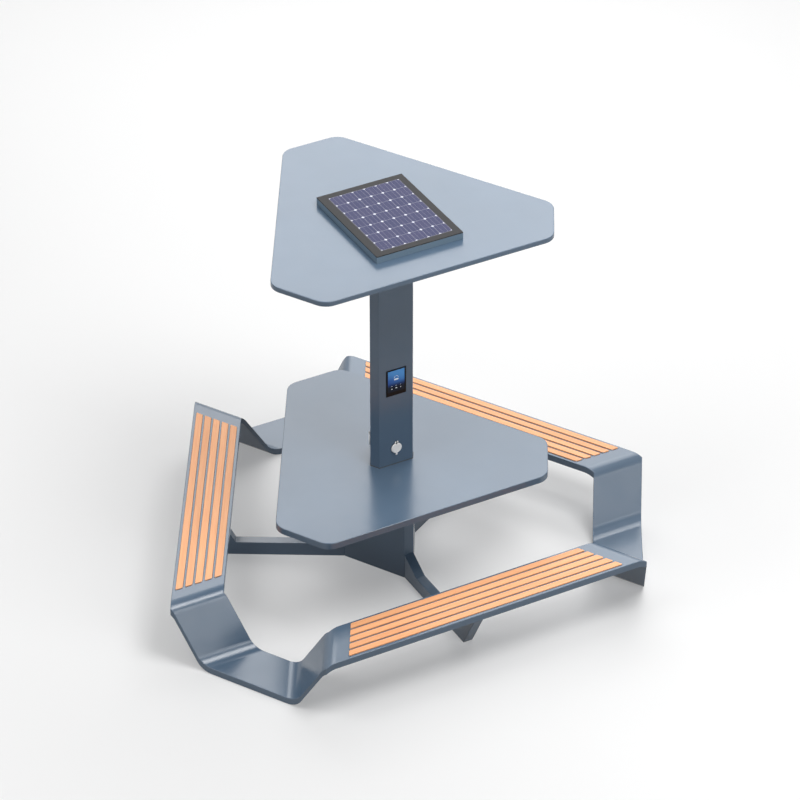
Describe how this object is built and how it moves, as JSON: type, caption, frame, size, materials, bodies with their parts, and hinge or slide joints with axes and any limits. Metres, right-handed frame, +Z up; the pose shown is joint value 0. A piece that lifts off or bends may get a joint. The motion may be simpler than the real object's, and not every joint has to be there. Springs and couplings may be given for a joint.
{
  "type": "solar charging bench",
  "caption": "Folded steel ring bench with slatted seats round a cut-triangle table, under a canopy on a column with solar panel, display and capped charging sockets.",
  "frame": {"origin": "on the ground in the middle of the pedestal's base plate, on the column's axis", "axes": "+Z up; the front seat, the display and the front socket face -Y; +X is to the right of a person who faces the display"},
  "size_m": [3.5028, 3.0335, 2.665],
  "materials": {
    "painted_steel": "blue-grey powder coat, satin",
    "dark_painted_steel": "blue-grey powder coat, satin",
    "galvanised_steel": "hot-dip galvanised",
    "slat_wood": "light orange wood composite, matt",
    "black_aluminium": "black anodised",
    "solar_glass": "glossy glass over blue-violet cells",
    "black_plastic": "matt",
    "cable_rubber": "matt jacket",
    "screen_glass": "glossy screen, lit blue",
    "socket_plastic": "light grey, fine grain",
    "bare_steel": "stainless",
    "battery_case": "matt",
    "controller_case": "satin"
  },
  "bodies": {
    "bench": {"seat_frame_front": "painted_steel", "seat_frame_right": "painted_steel", "seat_frame_left": "painted_steel", "seat_underside_front": "dark_painted_steel", "seat_underside_right": "dark_painted_steel", "seat_underside_left": "dark_painted_steel", "slat_ladder_front": "galvanised_steel", "slat_ladder_right": "galvanised_steel", "slat_ladder_left": "galvanised_steel", "slat_front_1": "slat_wood", "slat_front_2": "slat_wood", "slat_front_3": "slat_wood", "slat_front_4": "slat_wood", "slat_front_5": "slat_wood", "slat_right_1": "slat_wood", "slat_right_2": "slat_wood", "slat_right_3": "slat_wood", "slat_right_4": "slat_wood", "slat_right_5": "slat_wood", "slat_left_1": "slat_wood", "slat_left_2": "slat_wood", "slat_left_3": "slat_wood", "slat_left_4": "slat_wood", "slat_left_5": "slat_wood", "arm_front": "dark_painted_steel", "arm_right": "dark_painted_steel", "arm_left": "dark_painted_steel", "table_top": "painted_steel", "table_underside": "dark_painted_steel", "table_bracket": "galvanised_steel", "canopy_top": "painted_steel", "canopy_underside": "dark_painted_steel", "canopy_bracket": "galvanised_steel", "column": "painted_steel", "pedestal": "dark_painted_steel", "pedestal_top_plate": "galvanised_steel", "pedestal_base_plate": "galvanised_steel", "door_frame": "galvanised_steel", "door_hinge_pin": "bare_steel", "equipment_rack": "galvanised_steel", "battery": "battery_case", "charge_controller": "controller_case", "solar_housing": "painted_steel", "solar_bezel": "black_aluminium", "solar_laminate": "solar_glass", "junction_box": "black_plastic", "solar_cable": "cable_rubber", "display_case": "black_plastic", "display_glass": "screen_glass", "socket_body_front": "socket_plastic", "socket_body_right": "socket_plastic", "socket_body_left": "socket_plastic", "socket_pin_front": "bare_steel", "socket_pin_right": "bare_steel", "socket_pin_left": "bare_steel"},
    "cap_front": {"socket_cap_front": "socket_plastic"},
    "cap_right": {"socket_cap_right": "socket_plastic"},
    "cap_left": {"socket_cap_left": "socket_plastic"},
    "door": {"service_door": "dark_painted_steel"},
    "lock": {"door_lock": "bare_steel"}
  },
  "joints": [
    {"name": "cap_front_hinge", "type": "hinge", "parent": "bench", "child": "cap_front", "pos_m": [0, -0.1188, 0.9735], "axis": [-1, 0, 0], "range_deg": [0, 120]},
    {"name": "cap_right_hinge", "type": "hinge", "parent": "bench", "child": "cap_right", "pos_m": [0.10288, 0.0594, 0.9735], "axis": [0.5, -0.866, 0], "range_deg": [0, 120]},
    {"name": "cap_left_hinge", "type": "hinge", "parent": "bench", "child": "cap_left", "pos_m": [-0.10288, 0.0594, 0.9735], "axis": [0.5, 0.866, 0], "range_deg": [0, 120]},
    {"name": "service_door_hinge", "type": "hinge", "parent": "bench", "child": "door", "pos_m": [-0.147, 0.18, 0.391], "axis": [0, 0, 1], "range_deg": [0, 110]},
    {"name": "door_lock_turn", "type": "hinge", "parent": "door", "child": "lock", "pos_m": [0.108, 0.165, 0.391], "axis": [0, -1, 0], "range_deg": [0, 90]}
  ]
}
